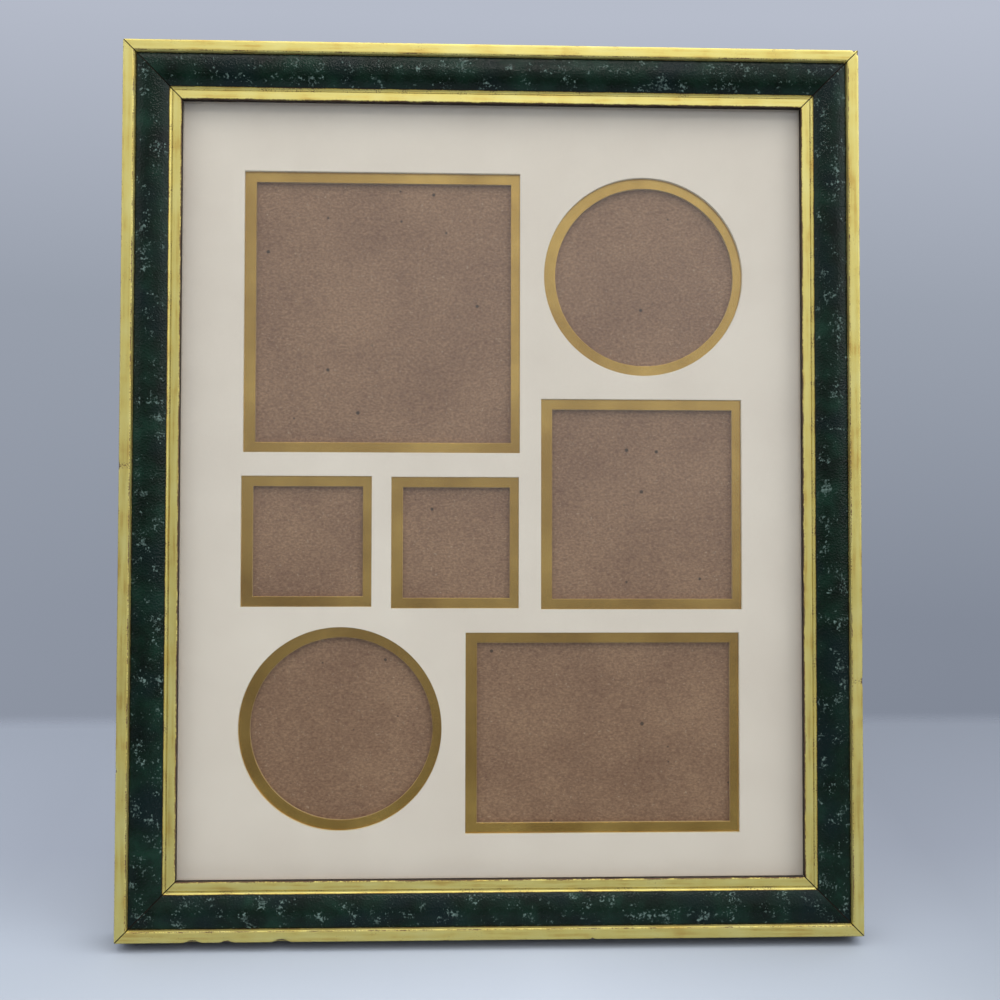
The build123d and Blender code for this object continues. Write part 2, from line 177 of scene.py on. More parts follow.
which = add_node(
    tree, "MixShader", {0: light_path.outputs["Is Camera Ray"], 1: glow_light, 2: seen_light}
)
add_node(tree, "OutputWorld", {0: which})

# Floor paper that fades into the backdrop behind the frame. Its colour carries painted light: it
# is paler in front and darker behind as the lamps fall off, and painted shade darkens it towards
# both sides.
floor_drop = 0.2 * MM       # so that it doesn't share a plane with what stands on it
bpy.ops.mesh.primitive_circle_add(
    vertices=96, radius=1.6, fill_type="NGON", location=(0, 0, -floor_drop)
)
floor = bpy.context.object
floor.name = "floor"
floor_finish, tree = empty_tree("floor_paper")
spot = add_node(tree, "TexCoord")
away = add_node(tree, "SeparateXYZ", {0: spot.outputs["Object"]})
depth = add_node(
    tree, "MapRange", {"Value": away.outputs["Y"], "From Min": -0.10, "From Max": 0.20}
)
fade = add_node(
    tree, "MapRange",
    {"Value": away.outputs["Y"], "From Min": 0.160, "From Max": 0.184},
    interpolation_type="SMOOTHSTEP",
)
# Painted light falloff: the paper is paler in front and darker behind.
floor_tone_and_painted_falloff = add_node(
    tree, "ValToRGB", {0: depth},
    ramp=((0.0, "#B8C0CB"), (0.113, "#B2BAC6"), (0.433, "#A1A8B6"), (0.86, "#949BA8")),
)
sideways = add_node(
    tree, "MapRange", {"Value": away.outputs["X"], "From Min": -0.16, "From Max": 0.16}
)
# Painted shade: the paper is darker towards both sides, most of all at the right.
painted_side_shade = add_node(
    tree, "ValToRGB", {0: sideways},
    ramp=((0.0, "#E4E4E4"), (0.3, "#F4F4F4"), (0.55, "#FBFBFB"), (1.0, "#CFCFCF")),
)
shaded_paper = add_node(
    tree, "Mix", {0: 1.0, 6: floor_tone_and_painted_falloff, 7: painted_side_shade}, data_type="RGBA", blend_type="MULTIPLY"
)
paper = add_node(tree, "BsdfDiffuse", {"Color": shaded_paper.outputs[2]})
gone = add_node(tree, "BsdfTransparent")
blend = add_node(tree, "MixShader", {0: fade, 1: paper, 2: gone})
add_node(tree, "OutputMaterial", {0: blend})
floor.data.materials.append(floor_finish)
bpy.ops.object.select_all(action="DESELECT")

# The four rails
# One stick of moulding, milled from soft wood and hot-wrapped in printed foil, cut into four and
# mitred. Gold foil covers the rim, the small bead and the lip, and a dark green marbled foil the
# dome between them. The lip's wall is painted dark brown, and its colour is darkened further as
# painted shade; the back is bare wood.
sight_w, sight_h = 197.1 * MM, 245.1 * MM
rail_w = 18.1 * MM
frame_depth = 14.35 * MM
foil_wrap = 1.3 * MM        # foil turned round onto the outer side
edge_round = 0.45 * MM
rim_w = 3.5 * MM
step_w = 0.5 * MM
panel_w = 10.25 * MM
bead_w = 1.15 * MM
rim_rise = 2.45 * MM
step_drop = 1.0 * MM
panel_rise = 0.5 * MM
panel_crown = 1.2 * MM
bead_crown = 0.42 * MM
lip_slope = -0.06 * MM      # all but level: in the photo the lip is as bright as the rim
lip_round = 0.3 * MM
lip_wall = 2.8 * MM
land_w = 13.7 * MM
ease = 0.12 * MM            # rubbed arrises
mitre_gap = 0.05 * MM
mitre_ease = 0.2 * MM       # foil broken back at the saw cut
cell = 0.55 * MM            # spacing of the mesh along a rail
side_steps = 5              # rows of it down the outer side
same_place = 1e-6           # points nearer than this, in metres, are one
back_planed = 0.02 * MM     # so that nothing laid on the back lies in its plane
outer_w, outer_h = sight_w + 2 * rail_w, sight_h + 2 * rail_w
heel_y = -30.7496 * MM      # where the lower back edge stands on the floor
lean_back = math.radians(12)
lean = (
    Matrix.Translation((0, heel_y, 0))
    @ Matrix.Rotation(-lean_back, 4, "X")
    @ Matrix.Translation((0, 0, outer_h / 2))
)
front = -frame_depth
panel_start = rim_w + step_w
panel_end = panel_start + panel_w
bead_end = panel_end + bead_w
lip_y = front + rim_rise
outer_y = front + step_drop
inner_y = lip_y - panel_rise
crown_y = (outer_y + inner_y) / 2 - panel_crown
step_run = Vector((step_drop, step_w)).normalized() * ease
round_mid = 0.2929 * edge_round     # the middle of the quarter round at the outer arris

# Each run of the moulding across the rail: finish, end (depth, distance in from the outer side),
# a point that an arc passes through, and its number of steps.
moulding_runs = (
    ("gilt", (front + edge_round, 0), None, 2),
    ("gilt", (front, edge_round), (front + round_mid, round_mid), 5),
    ("gilt", (front, rim_w - ease), None, 6),
    ("gilt", (front + step_run.x, rim_w + step_run.y), None, 1),
    ("gilt", (outer_y, panel_start), None, 4),
    ("marbled", (inner_y, panel_end), (crown_y, panel_start + panel_w / 2), 26),
    ("gilt", (lip_y - lip_slope, bead_end), (inner_y - bead_crown, panel_end + bead_w / 2), 8),
    ("gilt", (lip_y, rail_w - lip_round), None, 6),
    ("gilt", (lip_y + lip_round, rail_w), None, 2),
    ("umber_and_shade", (lip_y + lip_wall, rail_w), None, 4),
    ("bare", (lip_y + lip_wall, land_w), None, 3),
    ("bare", (0, land_w), None, 5),
    ("bare", (0, 0), None, 6),
)


def arc_through(start, middle, end):
    """Centre and signed turn about X of the arc through three (depth, distance) points."""
    (ax, ay), (bx, by), (cx, cy) = start, middle, end
    cross = 2 * (ax * (by - cy) + bx * (cy - ay) + cx * (ay - by))
    a2, b2, c2 = ax * ax + ay * ay, bx * bx + by * by, cx * cx + cy * cy
    centre = Vector((
        (a2 * (by - cy) + b2 * (cy - ay) + c2 * (ay - by)) / cross,
        (a2 * (cx - bx) + b2 * (ax - cx) + c2 * (bx - ax)) / cross,
    ))
    first, last = Vector(start) - centre, Vector(end) - centre
    turn = math.atan2(first.x * last.y - first.y * last.x, first.dot(last))
    return centre, turn


def moulding_rows():
    """Each row of the moulding's mesh: depth, distance in, way round so far, finish up to it."""
    here = Vector((0.0, 0.0))
    rows = [(here.x, here.y, -(frame_depth - edge_round), None)]
    way = rows[0][2]
    side_run = ("stained", (front + foil_wrap, 0), None, side_steps)
    for finish, end, through, steps in (side_run, *moulding_runs):
        if through:
            centre, turn = arc_through(here, through, end)
            spoke = here - centre
            for step in range(1, steps + 1):
                angle = turn * step / steps
                way += abs(turn) * spoke.length / steps
                rows.append((
                    centre.x + spoke.x * math.cos(angle) - spoke.y * math.sin(angle),
                    centre.y + spoke.x * math.sin(angle) + spoke.y * math.cos(angle),
                    way, finish,
                ))
        else:
            run = Vector(end) - here
            for step in range(1, steps + 1):
                point = here + run * step / steps
                way += run.length / steps
                rows.append((point.x, point.y, way, finish))
        here = Vector(end)
    return rows


def draw_rail(name, length):
    """A straight mitred rail along X with its outer side at Z = 0 and its back at Y = 0."""
    side = frame_depth - foil_wrap
    cut_length = length - mitre_gap
    bpy.ops.mesh.primitive_grid_add(
        x_subdivisions=round(length / cell), y_subdivisions=side_steps, size=1,
        location=(0, -side / 2, 0),
    )
    rail = bpy.context.object
    rail.name = name
    rail.scale = (cut_length, side, 1)
    bpy.ops.object.transform_apply(location=True, rotation=True, scale=True)
    bpy.ops.object.mode_set(mode="EDIT")
    select_where(rail.data, lambda vert: vert.co.y < -side + same_place)
    here = Vector((-side, 0.0))
    for finish, end, through, steps in moulding_runs:
        if through:
            centre, turn = arc_through(here, through, end)
            bpy.ops.mesh.spin(
                steps=steps, angle=-turn, center=(0, centre.x, centre.y), axis=(1, 0, 0)
            )
        else:
            run = (Vector(end) - here) / steps
            for _ in range(steps):
                bpy.ops.mesh.extrude_region_move(
                    TRANSFORM_OT_translate={"value": (0, run.x, run.y)}
                )
        here = Vector(end)
    bpy.ops.mesh.select_all(action="SELECT")
    bpy.ops.mesh.remove_doubles(threshold=same_place)
    bpy.ops.object.mode_set(mode="OBJECT")
    return rail


def lay_foil(rail, finishes):
    """Gives each strip of the rail its finish, and a map in metres round the moulding."""
    rows = moulding_rows()
    strips = {}
    for low, high in zip(rows, rows[1:]):
        centre = (round((low[0] + high[0]) / 2, 6), round((low[1] + high[1]) / 2, 6))
        strips[centre] = (low, high)
    while rail.data.uv_layers:
        rail.data.uv_layers.remove(rail.data.uv_layers[0])
    layer = rail.data.uv_layers.new(name="moulding")
    verts = rail.data.vertices
    for face in rail.data.polygons:
        middle = sum((verts[v].co for v in face.vertices), Vector()) / len(face.vertices)
        key = (round(middle.y, 6), round(middle.z, 6))
        if key not in strips:
            key = min(strips, key=lambda k: (k[0] - middle.y) ** 2 + (k[1] - middle.z) ** 2)
        low, high = strips[key]
        face.material_index = finishes[high[3]]
        for loop in face.loop_indices:
            spot = verts[rail.data.loops[loop].vertex_index].co
            to_low = (spot.y - low[0]) ** 2 + (spot.z - low[1]) ** 2
            to_high = (spot.y - high[0]) ** 2 + (spot.z - high[1]) ** 2
            layer.data[loop].uv = (0.0, low[2] if to_low < to_high else high[2])


def mitre_ends(rail, length, finishes):
    """Narrows each row to its mitre, closes the ends, and breaks the foil back at the saw cut."""
    half = (length - mitre_gap) / 2
    for vert in rail.data.vertices:
        vert.co.x *= 1 - vert.co.z / half
    bpy.ops.object.mode_set(mode="EDIT")
    bpy.ops.mesh.select_mode(type="EDGE")
    bpy.ops.mesh.select_all(action="DESELECT")
    bpy.ops.mesh.select_non_manifold(extend=False)
    bpy.ops.mesh.fill_holes(sides=0)
    bpy.ops.mesh.select_mode(type="FACE")
    bpy.ops.mesh.select_all(action="DESELECT")
    cage = bmesh.from_edit_mesh(rail.data)
    for face in cage.faces:
        if len(face.verts) > 8:     # only the two new ends have so many corners
            face.select = True
            face.material_index = finishes["umber_and_shade"]
    bmesh.update_edit_mesh(rail.data)
    bpy.ops.mesh.inset(thickness=mitre_ease, use_even_offset=False)
    cage = bmesh.from_edit_mesh(rail.data)
    for vert in cage.verts:
        at_end = abs(vert.co.x) > half - vert.co.z - same_place
        if at_end and not vert.select:
            vert.co.x -= math.copysign(mitre_ease, vert.co.x)
    bmesh.update_edit_mesh(rail.data)
    bpy.ops.mesh.select_all(action="SELECT")
    bpy.ops.mesh.normals_make_consistent(inside=False)
    bpy.ops.object.mode_set(mode="OBJECT")


def measure_along(rail, start):
    """Sets the map's length along the rail from the mitred rail itself."""
    layer = rail.data.uv_layers["moulding"]
    for loop in rail.data.loops:
        layer.data[loop.index].uv.x = rail.data.vertices[loop.vertex_index].co.x + start


def knock_rail(rail, knocks, seed):
    """Wears the outer arris and marks each knock: place, half length, depth and spread."""
    reach = 1.5 * MM
    long_wave, short_wave, deepest = 1.7 * MM, 0.8 * MM, 0.12 * MM
    bare = rail.data.attributes.new("bare", "FLOAT", "POINT")
    for vert in rail.data.vertices:
        from_front = vert.co.y - front
        if from_front > reach or vert.co.z > rim_w:
            continue
        near = max(0.0, 1 - from_front / reach) * max(0.0, 1 - vert.co.z / reach)
        x = vert.co.x
        wave = noise.noise(Vector((x / long_wave, seed, 0.0)))
        wave += 0.6 * noise.noise(Vector((x / short_wave, seed, 4.0)))
        push = max(0.0, wave - 0.25) * deepest
        shown = 0.0
        for place, half_length, depth, spread in knocks:
            off = abs(x - place) / half_length
            if off < 1:
                bump = (1 - off * off) ** 1.5
                push += depth * bump
                arris = bump * max(0.0, 1.7 * near - 0.7)
                shown = max(shown, arris, spread * bump)
        vert.co.z += push * near
        vert.co.y += 0.6 * push * near
        bare.data[vert.index].value = shown


# Gilt hot-stamping foil: a satin metal film over brown primer, so it looks like mottled brass,
# with streaks along the rail, and brown shows wherever an arris has been rubbed through. The same
# brown is also painted shade, laid into the grooves beside the dome and between bead and lip, and
# over the lip's edge.
gilt, tree = empty_tree("gilt_hot_stamped_foil")
place = add_node(tree, "UVMap", uv_map="moulding")
across = add_node(tree, "SeparateXYZ", {0: place})
streak_place = add_node(tree, "Mapping", {"Vector": place, "Scale": (1 / 0.022, 1 / 0.0011, 1)})
streaks = add_node(tree, "TexNoise", {"Vector": streak_place, "Scale": 1.0, "Detail": 5.0})
patches = add_node(tree, "TexNoise", {"Vector": place, "Scale": 1 / 0.009, "Detail": 4.0})
mottle = add_node(
    tree, "Math", {0: streaks.outputs["Fac"], 1: patches.outputs["Fac"]}, operation="ADD"
)
half_mottle = add_node(tree, "Math", {0: mottle, 1: 0.5}, operation="MULTIPLY")
gold = add_node(
    tree, "ValToRGB", {0: half_mottle},
    ramp=((0.36, "#C2A659"), (0.47, "#D1C271"), (0.62, "#D5CB81")),
)
# Where the foil wears, and where its brown is laid in as painted shade, by the way round the
# moulding in millimetres from the outer arris.
way_mm = add_node(tree, "Math", {0: across.outputs["Y"], 1: 1000.0}, operation="MULTIPLY")
way_first, way_last = -2.0, 22.0
way_share = add_node(
    tree, "MapRange", {"Value": way_mm, "From Min": way_first, "From Max": way_last}
)


def at_way(millimetres):
    """The ramp's place for a way round the moulding."""
    return (millimetres - way_first) / (way_last - way_first)


# White where the foil rubs off: outer arris, the edge above the step, the bead and the lip's edge.
# White too for painted shade in the grooves at both edges of the dome and between bead and lip,
# and at the lip's edge, which is both worn and shaded.
wear_and_groove_shade = add_node(
    tree, "ValToRGB", {0: way_share},
    ramp=(
        (at_way(-1.5), "#FFFFFF"), (at_way(-0.2), "#A0A0A0"), (at_way(0.25), "#C0C0C0"),
        (at_way(0.7), "#585858"), (at_way(1.2), "#404040"), (at_way(3.2), "#404040"),
        (at_way(3.5), "#B0B0B0"), (at_way(3.72), "#E8E8E8"), (at_way(3.95), "#505050"),
        (at_way(4.2), "#181818"), (at_way(4.5), "#383838"), (at_way(4.7), "#D0D0D0"),
        (at_way(4.84), "#FFFFFF"), (at_way(15.55), "#FFFFFF"), (at_way(15.9), "#E0E0E0"),
        (at_way(16.15), "#989898"), (at_way(16.7), "#888888"), (at_way(17.0), "#B0B0B0"),
        (at_way(17.3), "#A0A0A0"), (at_way(17.6), "#484848"), (at_way(18.0), "#3C3C3C"),
        (at_way(19.3), "#3C3C3C"), (at_way(19.55), "#606060"), (at_way(19.9), "#E0E0E0"),
        (at_way(20.4), "#FFFFFF"),
    ),
)
speck_noise = add_node(
    tree, "TexNoise", {"Vector": place, "Scale": 1 / 0.00042, "Detail": 3.0, "Roughness": 0.65}
)
rub_noise = add_node(tree, "TexNoise", {"Vector": place, "Scale": 1 / 0.006, "Detail": 3.0})
worn_here = add_node(
    tree, "MapRange",
    {"Value": rub_noise.outputs["Fac"], "From Min": 0.35, "From Max": 0.65, "To Min": -0.09,
     "To Max": 0.09},
)
grain = add_node(tree, "Math", {0: speck_noise.outputs["Fac"], 1: worn_here}, operation="ADD")
threshold = add_node(tree, "MapRange", {"Value": wear_and_groove_shade, "To Min": 0.74, "To Max": 0.34})
over = add_node(tree, "Math", {0: grain, 1: threshold}, operation="SUBTRACT")
worn_and_shaded = add_node(tree, "MapRange", {"Value": over, "From Min": -0.015, "From Max": 0.05})
knocked = add_node(tree, "Attribute", attribute_name="bare")
knocked_edge = add_node(
    tree, "Math", {0: knocked.outputs["Fac"], 1: speck_noise.outputs["Fac"]}, operation="ADD"
)
knocked_hard = add_node(
    tree, "MapRange", {"Value": knocked_edge, "From Min": 0.92, "From Max": 1.0}
)
bare_and_shaded_spots = add_node(tree, "Math", {0: worn_and_shaded, 1: knocked_hard}, operation="MAXIMUM")
# Primer brown: it shows through real wear, and it is also laid into the grooves and over the lip's
# edge as painted shade.
primer_and_shade_brown = add_node(
    tree, "ValToRGB", {0: speck_noise.outputs["Fac"]}, ramp=((0.40, "#2E1D0D"), (0.62, "#6B4A22"))
)
foil_colour = add_node(tree, "Mix", {0: bare_and_shaded_spots, 6: gold, 7: primer_and_shade_brown}, data_type="RGBA")
foil_metal = add_node(tree, "MapRange", {"Value": bare_and_shaded_spots, "To Min": 0.92, "To Max": 0.05})
foil_rough = add_node(
    tree, "MapRange",
    {"Value": streaks.outputs["Fac"], "From Min": 0.3, "From Max": 0.7, "To Min": 0.36,
     "To Max": 0.50},
)
dulled = add_node(tree, "Math", {0: wear_and_groove_shade, 1: 0.85}, operation="MULTIPLY")
gilt_rough = add_node(tree, "Math", {0: foil_rough, 1: dulled}, operation="MAXIMUM")
relief = add_node(
    tree, "Math", {0: speck_noise.outputs["Fac"], 1: bare_and_shaded_spots}, operation="SUBTRACT"
)
gilt_bump = add_node(tree, "Bump", {"Height": relief, "Strength": 0.35, "Distance": 0.00006})
surface = add_node(
    tree, "BsdfPrincipled",
    {
        "Base Color": foil_colour.outputs[2], "Metallic": foil_metal,
        "Roughness": gilt_rough, "Normal": gilt_bump,
    },
)
add_node(tree, "OutputMaterial", {0: surface})

# Dark green marbled foil: a glossy printed film, almost black green with softer blue-green
# clouds and pale flecks about a millimetre across, and a fine dimple that breaks up highlights.
marbled, tree = empty_tree("marbled_green_foil")
place = add_node(tree, "UVMap", uv_map="moulding")
clouds = add_node(
    tree, "TexNoise", {"Vector": place, "Scale": 1 / 0.011, "Detail": 4.0, "Roughness": 0.55}
)
green = add_node(
    tree, "ValToRGB", {0: clouds.outputs["Fac"]},
    ramp=((0.33, "#040F0A"), (0.45, "#071810"), (0.57, "#0C2219"), (0.70, "#142F24")),
)
tints = add_node(tree, "TexNoise", {"Vector": place, "Scale": 1 / 0.019, "Detail": 2.0})
tint_share = add_node(
    tree, "MapRange", {"Value": tints.outputs["Fac"], "From Min": 0.50, "From Max": 0.66}
)
blue_green = add_node(
    tree, "Mix", {0: tint_share, 6: green, 7: from_hex("#081818")}, data_type="RGBA"
)
clusters = add_node(
    tree, "TexNoise", {"Vector": place, "Scale": 1 / 0.0052, "Detail": 3.0, "Roughness": 0.6}
)
crumbs = add_node(
    tree, "TexNoise", {"Vector": place, "Scale": 1 / 0.00085, "Detail": 2.5, "Roughness": 0.62}
)
crowd = add_node(
    tree, "Math", {0: clusters.outputs["Fac"], 1: 1.15, 2: crumbs.outputs["Fac"]},
    operation="MULTIPLY_ADD",
)
flecks = add_node(tree, "MapRange", {"Value": crowd, "From Min": 1.22, "From Max": 1.34})
shades = add_node(tree, "TexNoise", {"Vector": place, "Scale": 1 / 0.0021, "Detail": 1.0})
fleck_strength = add_node(
    tree, "MapRange",
    {"Value": shades.outputs["Fac"], "From Min": 0.35, "From Max": 0.65, "To Min": 0.25,
     "To Max": 0.95},
)
fleck_share = add_node(tree, "Math", {0: flecks, 1: fleck_strength}, operation="MULTIPLY")
printed = add_node(
    tree, "Mix",
    {0: fleck_share, 6: blue_green.outputs[2], 7: from_hex("#6A7F78")}, data_type="RGBA",
)
# Painted shade: near black along both edges of the dome, in the grooves 4.84 and 15.5 mm of the
# way round the moulding.
across = add_node(tree, "SeparateXYZ", {0: place})
panel_share = add_node(
    tree, "MapRange", {"Value": across.outputs["Y"], "From Min": 0.00484, "From Max": 0.0155}
)
painted_groove_shade = add_node(
    tree, "ValToRGB", {0: panel_share},
    ramp=((0.0, "#FFFFFF"), (0.035, "#000000"), (0.965, "#000000"), (1.0, "#FFFFFF")),
)
marbled_colour = add_node(
    tree, "Mix", {0: painted_groove_shade, 6: printed.outputs[2], 7: from_hex("#0A0F0B")}, data_type="RGBA"
)
dimples = add_node(
    tree, "TexVoronoi", {"Vector": place, "Scale": 1 / 0.00062}, voronoi_dimensions="2D",
    feature="SMOOTH_F1",
)
skin = add_node(tree, "TexNoise", {"Vector": place, "Scale": 1 / 0.0007, "Detail": 3.0})
dimple_height = add_node(
    tree, "Math", {0: dimples.outputs["Distance"], 1: skin.outputs["Fac"]}, operation="ADD"
)
marbled_bump = add_node(
    tree, "Bump", {"Height": dimple_height, "Strength": 1.0, "Distance": 0.00007}
)
marbled_rough = add_node(
    tree, "MapRange",
    {"Value": skin.outputs["Fac"], "From Min": 0.3, "From Max": 0.7, "To Min": 0.07,
     "To Max": 0.15},
)
surface = add_node(
    tree, "BsdfPrincipled",
    {
        "Base Color": marbled_colour.outputs[2], "Roughness": marbled_rough,
        "Normal": marbled_bump, "IOR": 1.5, "Specular IOR Level": 0.16,
    },
)
add_node(tree, "OutputMaterial", {0: surface})


def wood_finish(name, dark, pale, roughness):
    """Soft straight-grained wood along the rail: late wood lines 1.2 mm apart, fine pores."""
    material, tree = empty_tree(name)
    place = add_node(tree, "UVMap", uv_map="moulding")
    stretched = add_node(tree, "Mapping", {"Vector": place, "Scale": (1 / 0.035, 1 / 0.0012, 1)})
    grain = add_node(
        tree, "TexNoise", {"Vector": stretched, "Scale": 1.0, "Detail": 6.0, "Roughness": 0.6}
    )
    colour = add_node(
        tree, "ValToRGB", {0: grain.outputs["Fac"]}, ramp=((0.30, dark), (0.68, pale))
    )
    pores = add_node(tree, "Mapping", {"Vector": place, "Scale": (1 / 0.004, 1 / 0.00025, 1)})
    pore_noise = add_node(tree, "TexNoise", {"Vector": pores, "Scale": 1.0, "Detail": 3.0})
    bump = add_node(
        tree, "Bump", {"Height": pore_noise.outputs["Fac"], "Strength": 0.5, "Distance": 0.00008}
    )
    rough = add_node(
        tree, "MapRange",
        {"Value": pore_noise.outputs["Fac"], "To Min": roughness - 0.08,
         "To Max": roughness + 0.08},
    )
    surface = add_node(
        tree, "BsdfPrincipled",
        {"Base Color": colour, "Roughness": rough, "Normal": bump, "Specular IOR Level": 0.25},
    )
    add_node(tree, "OutputMaterial", {0: surface})
    return material


stained = wood_finish("brown_stained_wood", "#2A1A10", "#4B3020", 0.55)
# Dark brown for the lip's wall and the mitre ends, taken near black as painted shade for the wall
# in its recess.
umber_and_shade = wood_finish("umber_wood_and_painted_shade", "#120A05", "#28180A", 0.7)
bare_wood = wood_finish("bare_softwood", "#B98F5E", "#DDBB8A", 0.75)
rail_finishes = {"gilt": 0, "marbled": 1, "umber_and_shade": 2, "stained": 3, "bare": 4}
rail_places = (
    ("rail_bottom", 0, outer_w, outer_h / 2, (
        (-92.7 * MM, 3.0 * MM, 0.62 * MM, 0.0), (-82.2 * MM, 2.4 * MM, 0.42 * MM, 0.0),
        (-65.4 * MM, 3.2 * MM, 0.75 * MM, 0.0), (31 * MM, 1.0 * MM, 0.2 * MM, 0.0),
    )),
    ("rail_left", 90, outer_h, outer_w / 2, (
        (-6.5 * MM, 2.2 * MM, 0.1 * MM, 0.45), (88 * MM, 0.9 * MM, 0.12 * MM, 0.3),
    )),
    ("rail_top", 180, outer_w, outer_h / 2, ((-115.2 * MM, 1.0 * MM, 0.22 * MM, 0.0),)),
    ("rail_right", 270, outer_h, outer_w / 2, (
        (-60.8 * MM, 2.2 * MM, 0.15 * MM, 0.42), (139.5 * MM, 1.1 * MM, 0.25 * MM, 0.0),
    )),
)
smooth_below = math.radians(32)
for number, (node, turn, length, half_span, knocks) in enumerate(rail_places):
    stick_place = number * 0.41     # where on the stick of moulding this rail is cut, in metres
    wear_seed = number * 7.3        # so that each rail is worn in its own way
    rail = draw_rail("foiled_" + node, length)
    for finish in (gilt, marbled, umber_and_shade, stained, bare_wood):
        rail.data.materials.append(finish)
    lay_foil(rail, rail_finishes)
    mitre_ends(rail, length, rail_finishes)
    measure_along(rail, stick_place)
    knock_rail(rail, knocks, wear_seed)
    for vert in rail.data.vertices:
        vert.co.y = min(vert.co.y, -back_planed)
    rail.data.transform(
        lean @ Matrix.Rotation(math.radians(turn), 4, "Y") @ Matrix.Translation((0, 0, -half_span))
    )
    bpy.ops.object.shade_smooth_by_angle(angle=smooth_below)
    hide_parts(node)
    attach(rail, "frame")
    bpy.ops.object.select_all(action="DESELECT")

# The glass
# A pane of 2 mm float glass, cut to lie in the rebate. It is clear and mirrors a little of the
# pale room, more so at a slant.
float_glass, tree = empty_tree("float_glass")
mirror_share = add_node(tree, "Fresnel", {"IOR": 1.52})
side_seen = add_node(tree, "NewGeometry")
front_only = add_node(
    tree, "Math", {0: 1.0, 1: side_seen.outputs["Backfacing"]}, operation="SUBTRACT"
)
front_share = add_node(tree, "Math", {0: mirror_share, 1: front_only}, operation="MULTIPLY")
both_faces = add_node(tree, "Math", {0: front_share, 1: 1.6}, operation="MULTIPLY", use_clamp=True)
clear = add_node(tree, "BsdfTransparent", {"Color": from_hex("#FBFDFC")})
smears = add_node(tree, "TexCoord")
smear_noise = add_node(
    tree, "TexNoise", {"Vector": smears.outputs["Object"], "Scale": 1 / 0.03, "Detail": 3.0}
)
smear_rough = add_node(
    tree, "MapRange",
    {"Value": smear_noise.outputs["Fac"], "From Min": 0.4, "From Max": 0.7, "To Min": 0.02,
     "To Max": 0.06},
)
mirror = add_node(tree, "BsdfAnisotropic", {"Color": (1, 1, 1, 1), "Roughness": smear_rough})
pane = add_node(tree, "MixShader", {0: both_faces, 1: clear, 2: mirror})
add_node(tree, "OutputMaterial", {0: pane})
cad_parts["glass"].data.materials.clear()
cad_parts["glass"].data.materials.append(float_glass)

# The two mats
# Mat board of 1.4 mm: a cream textured paper, and under it a board faced with satin gold paper,
# both on a pale pulp core that shows where the seven windows are die-cut straight through.
mat_t, glass_t = 1.4 * MM, 2.0 * MM
mat_w, mat_h = 204.9 * MM, 252.9 * MM
window_left = -sight_w / 2 + 19.2 * MM
window_right = sight_w / 2 - 18.7 * MM
window_top = sight_h / 2 - 21.3 * MM
window_bottom = -sight_h / 2 + 13.1 * MM
bar, small_bar = 7.7 * MM, 6.2 * MM
large_w, large_h, small_h = 87.6 * MM, 89.9 * MM, 41.2 * MM
landscape_w = 87.3 * MM
right_drop, round_shift = 0.9 * MM, 0.7 * MM
reveal, gold_shift = 3.25 * MM, 0.4 * MM
# How far the die cut outside the even layout, in mm: left, bottom, right and top.
cut_over = (
    (0, 0, 0.3, 0), (0.5, 0.1, 0.1, 0.2), (-0.1, 0.6, 0, 0), (0.6, 0, 0, 0), (0.2, -0.1, 0, 0.3),
)
round_over = 0.1 * MM
round_slip = ((-0.15 * MM, -0.4 * MM), (-0.3 * MM, 0.0))
die_ease = 0.07 * MM        # the die presses the paper's edge down
air = 0.05 * MM             # left between one sheet and the next
round_sides = 192


def window_shapes():
    """The seven windows: five as left, bottom, right, top, and two as middle x, z and radius."""
    large_right = window_left + large_w
    column_w = window_right - large_right - bar
    large_bottom = window_top - large_h
    small_w = (large_w - small_bar) / 2
    small_top = large_bottom - bar
    small_bottom = small_top - small_h
    circle_top = window_top - right_drop
    upright_top = circle_top - column_w - bar
    upright_bottom = small_bottom - right_drop
    wide_left = window_left - round_shift + column_w + bar
    radius = column_w / 2
    square = (
        (window_left, large_bottom, large_right, window_top),
        (window_left, small_bottom, window_left + small_w, small_top),
        (large_right - small_w, small_bottom, large_right, small_top),
        (window_right - column_w, upright_bottom, window_right, upright_top),
        (wide_left, window_bottom, wide_left + landscape_w, upright_bottom - bar),
    )
    round_ones = (
        (window_left - round_shift + radius, small_bottom - small_bar - radius),
        (window_right + round_shift - radius, circle_top - radius),
    )
    square = [
        (left - a * MM, bottom - b * MM, right + c * MM, top + d * MM)
        for (left, bottom, right, top), (a, b, c, d) in zip(square, cut_over)
    ]
    round_ones = [
        (x + slip_x, z + slip_z, radius + round_over)
        for (x, z), (slip_x, slip_z) in zip(round_ones, round_slip)
    ]
    return square, round_ones


